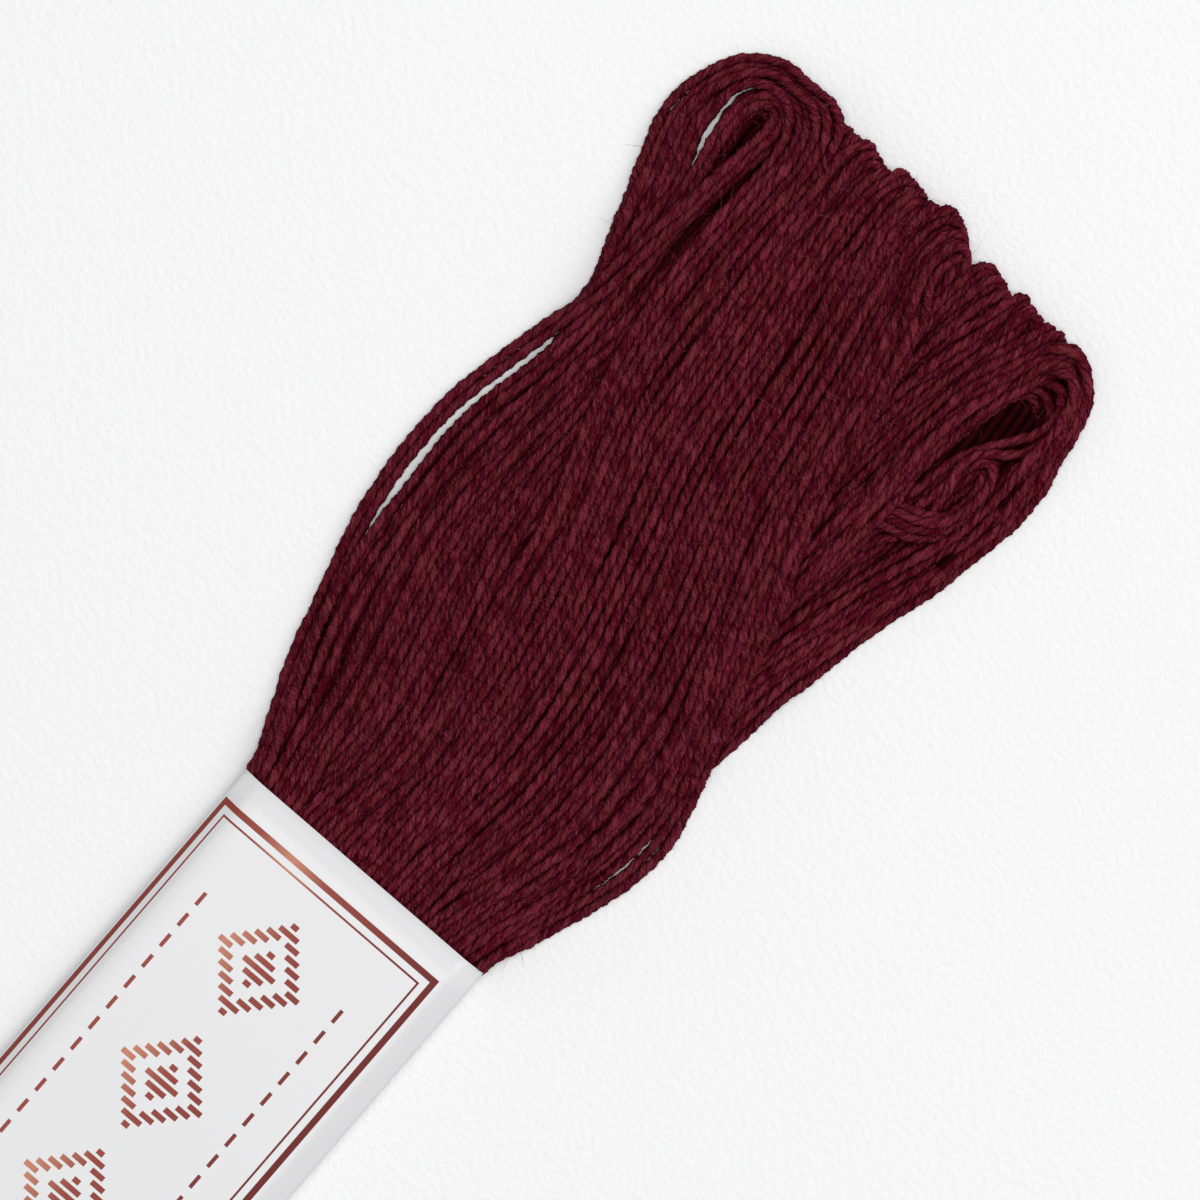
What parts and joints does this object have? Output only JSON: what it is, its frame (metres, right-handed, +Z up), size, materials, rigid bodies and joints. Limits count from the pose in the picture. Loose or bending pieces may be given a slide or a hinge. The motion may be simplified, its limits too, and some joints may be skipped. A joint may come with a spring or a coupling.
{
  "type": "skein of kogin thread in a paper band",
  "caption": "Flat skein of thick twisted cotton thread for counted darning, bound round its middle by a paper band, with turned loops at its fanned ends.",
  "frame": {"origin": "middle of the bounding box, on the plane that the skein rests on", "axes": "+Y along the skein towards its looped end, +Z up from the table"},
  "size_m": [0.053, 0.2514, 0.0044],
  "materials": {
    "cotton_thread": "matt twisted cotton, wine red",
    "paper": "smooth white paper with a slight sheen, and rules and a motif in bronze print"
  },
  "bodies": {
    "root": {"skein": "cotton_thread", "band": "paper"}
  },
  "joints": []
}
